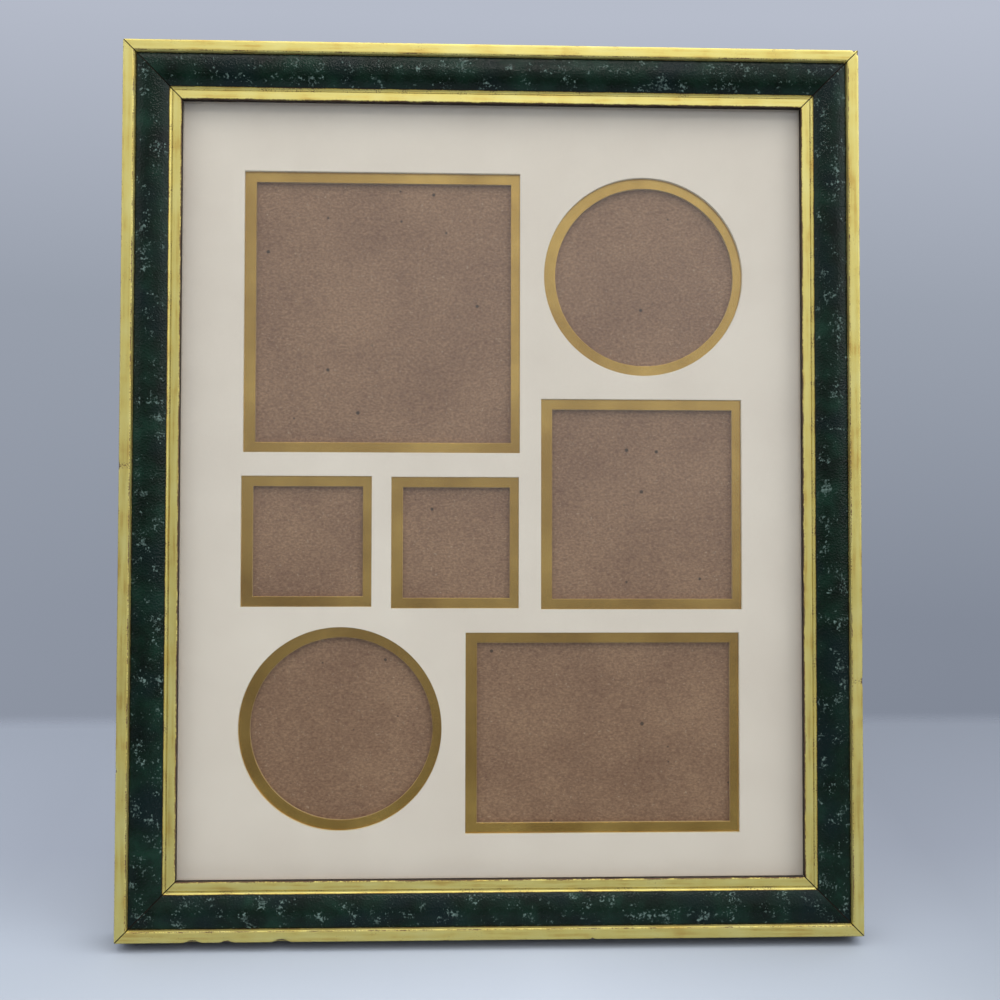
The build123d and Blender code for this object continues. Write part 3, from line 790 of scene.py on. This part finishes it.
def cut_mat(name, face_y, inset, shift):
    """A mat with its windows cut through. Their edges are pressed afterwards by press_edges."""
    bpy.ops.mesh.primitive_cube_add(size=1, location=(0, face_y + (mat_t - air) / 2, 0))
    mat = bpy.context.object
    mat.name = name
    mat.scale = (mat_w, mat_t - air, mat_h)
    bpy.ops.object.transform_apply(location=True, rotation=True, scale=True)
    square, round_ones = window_shapes()
    dies = []
    for left, bottom, right, top in square:
        bpy.ops.mesh.primitive_cube_add(
            size=1, location=((left + right) / 2 + shift, face_y + mat_t / 2, (bottom + top) / 2)
        )
        die = bpy.context.object
        die.scale = (right - left - 2 * inset, 3 * mat_t, top - bottom - 2 * inset)
        dies.append(die)
    for x, z, radius in round_ones:
        bpy.ops.mesh.primitive_cylinder_add(
            vertices=round_sides, radius=radius - inset, depth=3 * mat_t,
            location=(x + shift, face_y + mat_t / 2, z), rotation=(math.pi / 2, 0, 0),
        )
        dies.append(bpy.context.object)
    for die in dies:
        cut = mat.modifiers.new("window", "BOOLEAN")
        cut.object = die
        cut.operation = "DIFFERENCE"
        cut.solver = "EXACT"
        bpy.context.view_layer.objects.active = mat
        bpy.ops.object.modifier_apply(modifier=cut.name)
        bpy.data.objects.remove(die)
    bpy.ops.object.select_all(action="DESELECT")
    mat.select_set(True)
    bpy.context.view_layer.objects.active = mat
    return mat


def press_edges(mat, face_y):
    """Bevels the arrises of the windows at the front, as the die leaves them."""
    bpy.ops.object.mode_set(mode="EDIT")
    bpy.ops.mesh.select_mode(type="EDGE")
    bpy.ops.mesh.select_all(action="DESELECT")
    cage = bmesh.from_edit_mesh(mat.data)
    for edge in cage.edges:
        in_face = all(abs(vert.co.y - face_y) < same_place for vert in edge.verts)
        sharp = len(edge.link_faces) == 2 and edge.calc_face_angle(0) > 0.5
        if in_face and sharp:
            edge.select = True
    bmesh.update_edit_mesh(mat.data)
    bpy.ops.mesh.bevel(offset=die_ease, segments=2, affect="EDGES", profile=0.5)
    bpy.ops.object.mode_set(mode="OBJECT")
    for face in mat.data.polygons:
        face.material_index = 0 if face.normal.y < -0.6 else 1
    mat.data.transform(lean)
    bpy.ops.object.shade_flat()


def mat_paper(name, cloud_size, tooth_size, tooth_share, tones, rough, bump, metallic=0.0):
    """Mat paper: soft clouds of tone, and a fine tooth that sets roughness and bump."""
    material, tree = empty_tree(name)
    place = add_node(tree, "TexCoord")
    cloud = add_node(
        tree, "TexNoise",
        {"Vector": place.outputs["Object"], "Scale": 1 / cloud_size, "Detail": 4.0},
    )
    tooth = add_node(
        tree, "TexNoise",
        {"Vector": place.outputs["Object"], "Scale": 1 / tooth_size, "Detail": 3.0,
         "Roughness": 0.6},
    )
    cloud_part = add_node(
        tree, "Math", {0: cloud.outputs["Fac"], 1: 1 - tooth_share}, operation="MULTIPLY"
    )
    tone = add_node(
        tree, "Math", {0: tooth.outputs["Fac"], 1: tooth_share, 2: cloud_part},
        operation="MULTIPLY_ADD",
    )
    colour = add_node(tree, "ValToRGB", {0: tone}, ramp=tones)
    roughness = add_node(
        tree, "MapRange", {"Value": tooth.outputs["Fac"], "To Min": rough[0], "To Max": rough[1]}
    )
    relief = add_node(
        tree, "Bump", {"Height": tooth.outputs["Fac"], "Strength": bump, "Distance": 0.00004}
    )
    surface = add_node(
        tree, "BsdfPrincipled",
        {"Base Color": colour, "Metallic": metallic, "Roughness": roughness, "Normal": relief},
    )
    add_node(tree, "OutputMaterial", {0: surface})
    return material


def grained_finish(name, grain_size, detail, tones, rough, bump, bump_height, metallic=0.0):
    """One fine grain that sets colour, roughness and bump: matt pulp, or metal as rolled."""
    material, tree = empty_tree(name)
    place = add_node(tree, "TexCoord")
    grain = add_node(
        tree, "TexNoise", {"Vector": place.outputs["Object"], "Scale": 1 / grain_size, **detail}
    )
    colour = add_node(tree, "ValToRGB", {0: grain.outputs["Fac"]}, ramp=tones)
    roughness = add_node(
        tree, "MapRange", {"Value": grain.outputs["Fac"], "To Min": rough[0], "To Max": rough[1]}
    )
    relief = add_node(
        tree, "Bump", {"Height": grain.outputs["Fac"], "Strength": bump, "Distance": bump_height}
    )
    surface = add_node(
        tree, "BsdfPrincipled",
        {"Base Color": colour, "Metallic": metallic, "Roughness": roughness, "Normal": relief},
    )
    add_node(tree, "OutputMaterial", {0: surface})
    return material


# Cream mat paper: uncoated and matt, faintly toothed, with the slightest cloudiness of age.
cream = mat_paper(
    "cream_mat_paper", 0.035, 0.0005, 0.25, ((0.30, "#DDCDC1"), (0.70, "#E9DACE")), (0.72, 0.92),
    0.25,
)

# Satin gold paper: a metal-coated sheet, softer and browner than the rails' foil.
gold_paper = mat_paper(
    "satin_gold_mat_paper", 0.02, 0.0004, 0.0, ((0.3, "#B38941"), (0.7, "#D8AF5F")), (0.16, 0.30),
    0.3, metallic=1.0,
)

# The pulp core at a mat's cut edge is matt, with loose fibres about half a millimetre across.
face_y = lip_y + lip_wall + glass_t + air
for node, paper, core_tones, inset, shift in (
    ("cream_mat", cream, ((0.35, "#DDD4BF"), (0.65, "#F1EBDC")), 0.0, 0.0),
    ("gold_mat", gold_paper, ((0.35, "#946F46"), (0.65, "#C7AE84")), reveal, gold_shift),
):
    core = grained_finish(
        node + "_core", 0.6 * MM, {"Detail": 4.0, "Roughness": 0.7}, core_tones, (0.8, 0.95), 0.4,
        0.1 * MM,
    )
    mat = cut_mat(node + "_cut", face_y, inset, shift)
    mat.data.materials.append(paper)
    mat.data.materials.append(core)
    press_edges(mat, face_y)
    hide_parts(node)
    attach(mat, "frame")
    bpy.ops.object.select_all(action="DESELECT")
    face_y += mat_t

# The filler board
# Grey-brown chipboard made of waste paper, 1.2 mm thick: mottled, with long pressed fibres and
# dark and pale flecks. Only its front shows, through the windows.
chipboard, tree = empty_tree("speckled_chipboard")
place = add_node(tree, "TexCoord")
cloud = add_node(
    tree, "TexNoise",
    {"Vector": place.outputs["Object"], "Scale": 1 / 0.02, "Detail": 2.0, "Roughness": 0.5},
)
fibre_place = add_node(
    tree, "Mapping",
    {"Vector": place.outputs["Object"], "Scale": (1 / 0.0009, 1 / 0.0009, 1 / 0.00055)},
)
fibres = add_node(
    tree, "TexNoise", {"Vector": fibre_place, "Scale": 1.0, "Detail": 4.0, "Roughness": 0.6}
)
tone = add_node(
    tree, "Math", {0: fibres.outputs["Fac"], 1: 3.0, 2: cloud.outputs["Fac"]},
    operation="MULTIPLY_ADD",
)
half_tone = add_node(tree, "Math", {0: tone, 1: 0.25}, operation="MULTIPLY")
board_colour = add_node(
    tree, "ValToRGB", {0: half_tone}, ramp=((0.34, "#714E3B"), (0.5, "#88664F"), (0.66, "#A07C61"))
)
dark_cells = add_node(
    tree, "TexVoronoi", {"Vector": place.outputs["Object"], "Scale": 1 / 0.0048}
)
dark_pick = add_node(tree, "SeparateColor", {0: dark_cells.outputs["Color"]})
dark_size = add_node(
    tree, "MapRange", {"Value": dark_pick, "From Min": 0.50, "To Max": 0.13}
)
dark_gap = add_node(
    tree, "Math", {0: dark_size, 1: dark_cells.outputs["Distance"]}, operation="SUBTRACT"
)
dark_flecks = add_node(
    tree, "MapRange", {"Value": dark_gap, "From Min": -0.02, "From Max": 0.03, "To Max": 0.85}
)
with_dark = add_node(
    tree, "Mix", {0: dark_flecks, 6: board_colour, 7: from_hex("#2C2019")}, data_type="RGBA"
)
pale_noise = add_node(
    tree, "TexNoise",
    {"Vector": place.outputs["Object"], "Scale": 1 / 0.0008, "Detail": 2.0, "Roughness": 0.5},
)
pale_flecks = add_node(
    tree, "MapRange",
    {"Value": pale_noise.outputs["Fac"], "From Min": 0.64, "From Max": 0.76, "To Max": 0.45},
)
with_pale = add_node(
    tree, "Mix",
    {0: pale_flecks, 6: with_dark.outputs[2], 7: from_hex("#B9A48C")}, data_type="RGBA",
)
board_rough = add_node(
    tree, "MapRange", {"Value": fibres.outputs["Fac"], "To Min": 0.78, "To Max": 0.95}
)
board_bump = add_node(tree, "Bump", {"Height": half_tone, "Strength": 0.5, "Distance": 0.00015})
surface = add_node(
    tree, "BsdfPrincipled",
    {"Base Color": with_pale.outputs[2], "Roughness": board_rough, "Normal": board_bump},
)
add_node(tree, "OutputMaterial", {0: surface})
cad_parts["filler_board"].data.materials.clear()
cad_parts["filler_board"].data.materials.append(chipboard)

# The back board and the strut leg
# Both are sawn from 3 mm hardboard, hot-pressed wood fibre: dark brown, smooth and faintly shiny
# from the press, with short hair-like fibres. The real sawn edges are fuzzy and paler; here they
# are rounded over in the same brown.
hardboard, tree = empty_tree("brown_hardboard")
place = add_node(tree, "TexCoord")
cloud = add_node(
    tree, "TexNoise",
    {"Vector": place.outputs["Object"], "Scale": 1 / 0.025, "Detail": 5.0, "Roughness": 0.55},
)
hair = add_node(
    tree, "TexNoise",
    {"Vector": place.outputs["Object"], "Scale": 1 / 0.0012, "Detail": 5.0, "Roughness": 0.7,
     "Distortion": 1.2},
)
tone = add_node(tree, "Math", {0: cloud.outputs["Fac"], 1: hair.outputs["Fac"]}, operation="ADD")
half_tone = add_node(tree, "Math", {0: tone, 1: 0.5}, operation="MULTIPLY")
hard_colour = add_node(
    tree, "ValToRGB", {0: half_tone}, ramp=((0.36, "#4A2F1C"), (0.5, "#5F3F27"), (0.66, "#7C5535"))
)
hard_rough = add_node(
    tree, "MapRange", {"Value": hair.outputs["Fac"], "To Min": 0.42, "To Max": 0.62}
)
hard_bump = add_node(
    tree, "Bump", {"Height": hair.outputs["Fac"], "Strength": 0.3, "Distance": 0.00008}
)
surface = add_node(
    tree, "BsdfPrincipled",
    {"Base Color": hard_colour, "Roughness": hard_rough, "Normal": hard_bump},
)
add_node(tree, "OutputMaterial", {0: surface})


def ease_node(name, width, finish, steps=2):
    """Keeps a CAD piece, rounds its edges over and gives it its finish."""
    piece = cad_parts[name]
    weld = piece.modifiers.new("weld", "WELD")
    weld.merge_threshold = same_place
    flats = piece.modifiers.new("flats", "DECIMATE")
    flats.decimate_type = "DISSOLVE"
    flats.angle_limit = math.radians(0.5)
    rounding = piece.modifiers.new("rounding", "BEVEL")
    rounding.width = width
    rounding.segments = steps
    rounding.limit_method = "ANGLE"
    rounding.angle_limit = math.radians(35)
    rounding.harden_normals = False
    piece.data.materials.clear()
    piece.data.materials.append(finish)
    return piece


for name, width in (("back_board", 0.25 * MM), ("easel_leg", 0.35 * MM)):
    board = ease_node(name, width, hardboard)   # flat all over, so it is shaded flat
    board.select_set(True)
    bpy.context.view_layer.objects.active = board
    bpy.ops.mesh.customdata_custom_splitnormals_clear()
    bpy.ops.object.shade_flat()
    board.select_set(False)

# The hinge, turn buttons and wall hanger
# Pressed from mild steel sheet and brass-plated: a warm yellow metal with a satin skin, fine
# press marks and duller, browner patches where the thin plating has aged.
brassed, tree = empty_tree("brass_plated_steel")
place = add_node(tree, "TexCoord")
age = add_node(
    tree, "TexNoise",
    {"Vector": place.outputs["Object"], "Scale": 1 / 0.004, "Detail": 5.0, "Roughness": 0.6},
)
brass_colour = add_node(
    tree, "ValToRGB", {0: age.outputs["Fac"]},
    ramp=((0.34, "#9C7A3C"), (0.5, "#C6A55B"), (0.66, "#D9BC74")),
)
marks = add_node(
    tree, "TexNoise",
    {"Vector": place.outputs["Object"], "Scale": 1 / 0.0006, "Detail": 4.0, "Roughness": 0.6},
)
brass_rough = add_node(
    tree, "MapRange",
    {"Value": age.outputs["Fac"], "From Min": 0.3, "From Max": 0.7, "To Min": 0.46,
     "To Max": 0.24},
)
brass_bump = add_node(
    tree, "Bump", {"Height": marks.outputs["Fac"], "Strength": 0.25, "Distance": 0.00004}
)
surface = add_node(
    tree, "BsdfPrincipled",
    {"Base Color": brass_colour, "Metallic": 1.0, "Roughness": brass_rough, "Normal": brass_bump},
)
add_node(tree, "OutputMaterial", {0: surface})
for name in ("hinge_fixed_leaf", "hinge_moving_leaf", "hinge_pin"):
    ease_node(name, 0.12 * MM, brassed)
for side in ("top_left", "top_right", "bottom_left", "bottom_right", "left", "right"):
    ease_node("turn_button_" + side, 0.18 * MM, brassed, 3)
ease_node("sawtooth_hanger", 0.1 * MM, brassed)
ease_node("hanger_nails", 0.1 * MM, brassed)


def turned_bar(name, profile, sides=40):
    """A round bar along -Y, spun from its half profile: depths and radii from the crown down."""
    bpy.ops.mesh.primitive_circle_add(vertices=3, radius=MM, fill_type="NOTHING")
    bar = bpy.context.object
    bar.name = name
    bpy.ops.object.mode_set(mode="EDIT")
    bpy.ops.mesh.delete(type="VERT")
    cage = bmesh.from_edit_mesh(bar.data)
    line = [cage.verts.new((radius, -depth, 0.0)) for depth, radius in profile]
    for low, high in zip(line, line[1:]):
        cage.edges.new((low, high))
    bmesh.update_edit_mesh(bar.data)
    bpy.ops.mesh.select_all(action="SELECT")
    bpy.ops.mesh.spin(steps=sides, angle=-math.tau, center=(0, 0, 0), axis=(0, 1, 0))
    bpy.ops.mesh.select_all(action="SELECT")
    bpy.ops.mesh.remove_doubles(threshold=2 * same_place)
    bpy.ops.mesh.normals_make_consistent(inside=False)
    bpy.ops.object.mode_set(mode="OBJECT")
    return bar


def domed(radius, height, below, shank, length):
    """The half profile of a domed head and its shank, from the crown at `height` above Y = 0."""
    dome, steps = height - below, 8
    points = [(-height, 0.0)]
    for step in range(1, steps + 1):
        angle = math.pi / 2 * step / steps
        points.append((-below - dome * math.cos(angle), radius * math.sin(angle)))
    return points + [(0.0, radius), (0.0, shank), (length, shank), (length, 0.0)]


def set_copies(name, pattern, places):
    """One mesh of copies of the pattern, each moved by its own matrix."""
    bpy.ops.object.select_all(action="DESELECT")
    for place in places:
        one = pattern.copy()
        one.data = pattern.data.copy()
        bpy.context.collection.objects.link(one)
        one.data.transform(place)
        one.select_set(True)
        bpy.context.view_layer.objects.active = one
    bpy.data.objects.remove(pattern)
    bpy.ops.object.join()
    group = bpy.context.object
    group.name = name
    group.data.materials.clear()
    group.data.materials.append(brassed)
    bpy.ops.object.shade_smooth_by_angle(angle=smooth_below)
    return group


# The rivets
# Tubular brassed rivets with low domed heads: three hold the hinge's fixed leaf to the back
# board, and three hold its moving leaf to the strut leg and swing with it.
board_back = -0.1 * MM
board_t, leaf_t, knuckle_r = 3.0 * MM, 0.8 * MM, 1.9 * MM
leaf_gap = 0.3 * MM
hinge_height = 172.0 * MM   # up the back of the frame from its lower edge
pivot_y, pivot_z = board_back + knuckle_r, hinge_height - outer_h / 2
leg_back = board_back + leaf_gap + leaf_t + board_t
leg_open = math.radians(24)
swing = (
    Matrix.Translation((0, pivot_y, pivot_z))
    @ Matrix.Rotation(leg_open, 4, "X")
    @ Matrix.Translation((0, -pivot_y, -pivot_z))
)
rivet_r, rivet_head_r, rivet_head_h, rivet_rim = 1.2 * MM, 2.3 * MM, 0.9 * MM, 0.12 * MM
rivet_profile = domed(rivet_head_r, rivet_head_h, rivet_rim, rivet_r, leaf_t + board_t)
board_spots = ((-8.0 * MM, 7.0 * MM), (8.0 * MM, 7.0 * MM), (0.0, 14.0 * MM))
leg_spots = ((-7.0 * MM, -7.0 * MM), (7.0 * MM, -7.0 * MM), (0.0, -14.0 * MM))
for name, spots, seat, turn, body in (
    ("board_rivets", board_spots, board_back + leaf_t, Matrix(), "frame"),
    ("leg_rivets", leg_spots, leg_back, swing, "leg"),
):
    pattern = turned_bar("rivet_pattern", rivet_profile)
    places = [lean @ turn @ Matrix.Translation((x, seat, pivot_z + z)) for x, z in spots]
    rivets = set_copies("domed_" + name, pattern, places)
    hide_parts(name)
    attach(rivets, body)
    bpy.ops.object.select_all(action="DESELECT")

# The turn buttons' screws
# Six brassed wood screws with slotted oval heads, one through each button into the rail. Each
# slot stands as the screwdriver left it.
screw_r, screw_head_r, screw_head_h, screw_rim = 1.1 * MM, 2.3 * MM, 1.3 * MM, 0.35 * MM
slot_w, slot_d = 0.6 * MM, 0.6 * MM
under_head, screw_len = 1.35 * MM, 7.0 * MM     # from the rails' back out, and into the rail
land_mid = land_w / 2
button_x, side_x, edge_z = 58.0 * MM, outer_w / 2 - land_mid, outer_h / 2 - land_mid
screw_spots = (
    (-button_x, edge_z, 60), (button_x, edge_z, 60), (-button_x, -edge_z, 0),
    (button_x, -edge_z, 0), (-side_x, 0.0, 30), (side_x, 0.0, 90),
)
screw = turned_bar(
    "screw_pattern",
    domed(screw_head_r, screw_head_h, screw_rim, screw_r, under_head + screw_len),
)
bpy.ops.mesh.primitive_cube_add(size=1, location=(0, screw_head_h, 0))
blade = bpy.context.object
blade.scale = (3 * screw_head_r, 2 * slot_d, slot_w)
slot_cut = screw.modifiers.new("slot", "BOOLEAN")
slot_cut.object = blade
slot_cut.operation = "DIFFERENCE"
slot_cut.solver = "EXACT"
bpy.context.view_layer.objects.active = screw
bpy.ops.object.modifier_apply(modifier=slot_cut.name)
bpy.data.objects.remove(blade)
places = [
    lean @ Matrix.Translation((x, under_head, z)) @ Matrix.Rotation(math.radians(turn), 4, "Y")
    for x, z, turn in screw_spots
]
screws = set_copies("slotted_button_screws", screw, places)
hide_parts("turn_button_screws")
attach(screws, "frame")
bpy.ops.object.select_all(action="DESELECT")

# The corner nails
# V-shaped nails of bright rolled steel, driven flush into the back of each mitre, two a corner.
bright_steel = grained_finish(
    "bright_rolled_steel", 0.8 * MM, {"Detail": 4.0}, ((0.35, "#8E9094"), (0.65, "#C4C6CA")),
    (0.28, 0.5), 0.2, 0.03 * MM, metallic=1.0,
)
ease_node("corner_v_nails", 0.05 * MM, bright_steel, 1)

bpy.context.view_layer.update()
